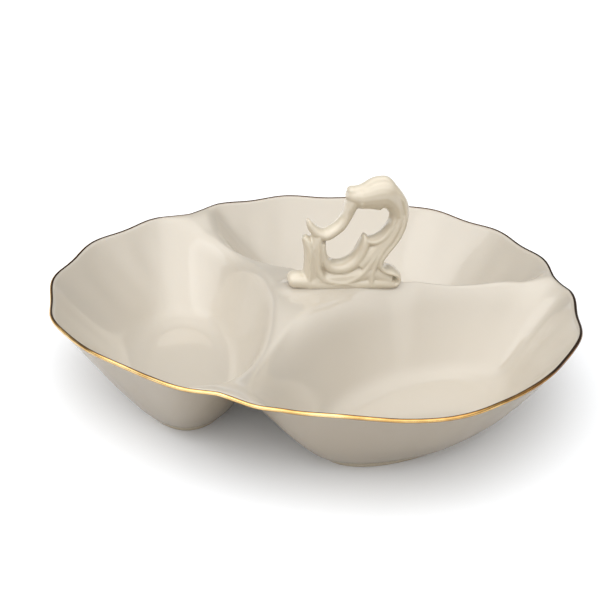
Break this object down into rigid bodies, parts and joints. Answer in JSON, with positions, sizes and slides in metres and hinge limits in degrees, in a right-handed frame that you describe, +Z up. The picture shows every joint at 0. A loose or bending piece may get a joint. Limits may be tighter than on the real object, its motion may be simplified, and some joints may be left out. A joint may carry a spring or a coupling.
{
  "type": "divided serving dish",
  "caption": "Low glazed porcelain serving dish with scalloped gilt rim, separate oval wells divided by rounded ridges, oval foot rings and an upright scroll handle on one ridge.",
  "frame": {"origin": "under the middle of the outline, on the plane of the foot rings", "axes": "+Z up, +X along the handle, from its leaves to its bar, +Y towards the back well"},
  "size_m": [0.304, 0.3052, 0.1185],
  "materials": {
    "glaze": "glossy ivory glaze",
    "handle_glaze": "glossy ivory glaze, thicker and warmer in the hollows",
    "slip": "glazed slip joint",
    "biscuit": "unglazed matt porcelain",
    "gilt": "bright gold lustre"
  },
  "bodies": {
    "root": {"bowl_left": "glaze", "gilt_rim_left": "gilt", "foot_ring_left": "biscuit", "bowl_front": "glaze", "gilt_rim_front": "gilt", "foot_ring_front": "biscuit", "bowl_back": "glaze", "gilt_rim_back": "gilt", "foot_ring_back": "biscuit", "slip_bead_handle": "slip", "slip_bead_back": "slip", "slip_bead_front": "slip", "slip_pad": "slip", "scroll_handle": "handle_glaze"}
  },
  "joints": []
}
